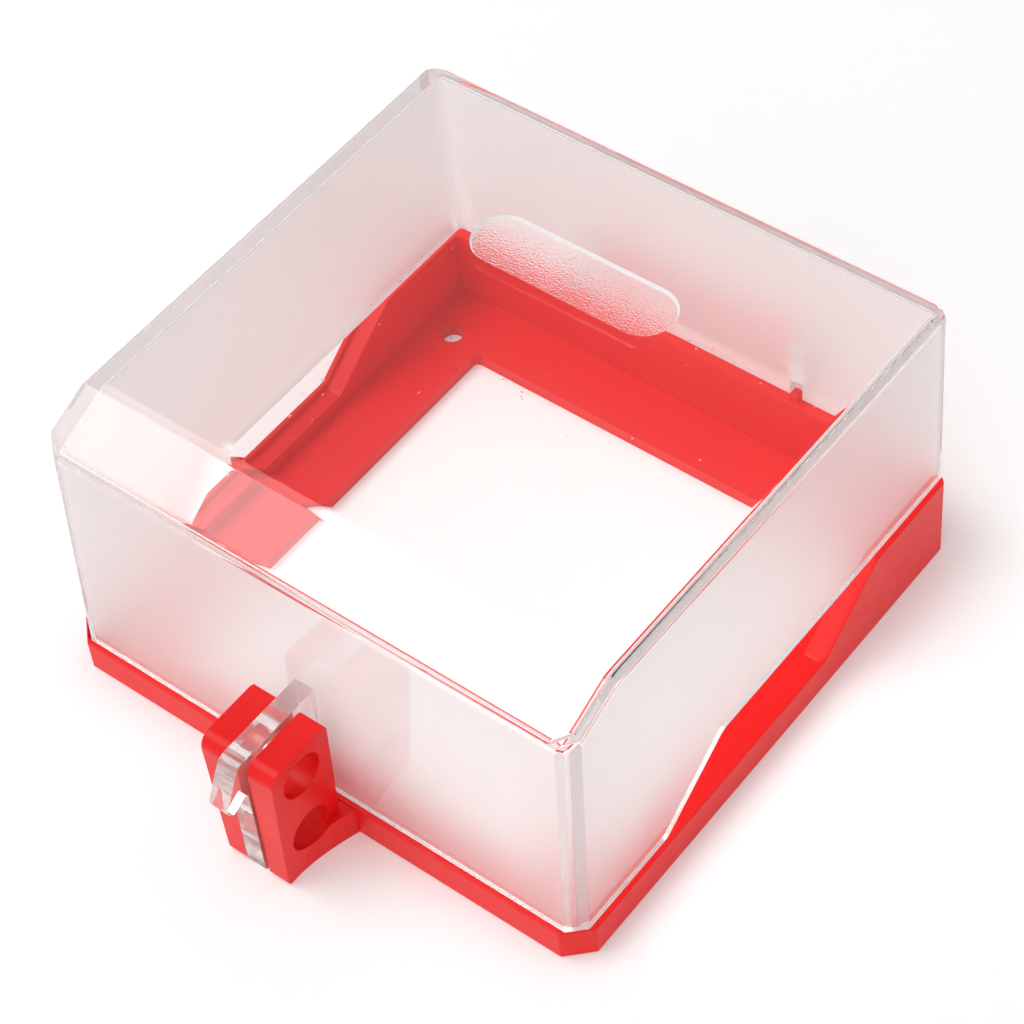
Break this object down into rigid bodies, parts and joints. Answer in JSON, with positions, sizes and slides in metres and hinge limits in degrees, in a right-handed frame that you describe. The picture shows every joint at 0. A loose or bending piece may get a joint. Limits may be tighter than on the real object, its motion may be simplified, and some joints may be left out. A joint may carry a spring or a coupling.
{
  "type": "lockable call point cover",
  "caption": "Clear hinged protective cover on a red open mounting frame that goes round a wall call point, with a padlock hasp at the front.",
  "frame": {"origin": "on the wall plane, under the middle of the part's bounding box", "axes": "+Z out of the wall, +Y towards the hinge, +X along the hinge to the right when the hinge is at the top"},
  "size_m": [0.118, 0.1464, 0.0626],
  "materials": {
    "red_plastic": "moulded red ABS, semi-gloss with a light grain",
    "clear_plastic": "clear polycarbonate: polished top and slanting front face, walls frosted on the inside",
    "steel": "drawn stainless steel"
  },
  "bodies": {
    "frame": {"base_frame": "red_plastic", "hinge_pin": "steel"},
    "lid": {"cover": "clear_plastic"}
  },
  "joints": [
    {"name": "cover_hinge", "type": "hinge", "parent": "frame", "child": "lid", "pos_m": [0, 0.069, 0.0239], "axis": [-1, 0, 0], "range_deg": [0, 130]}
  ]
}
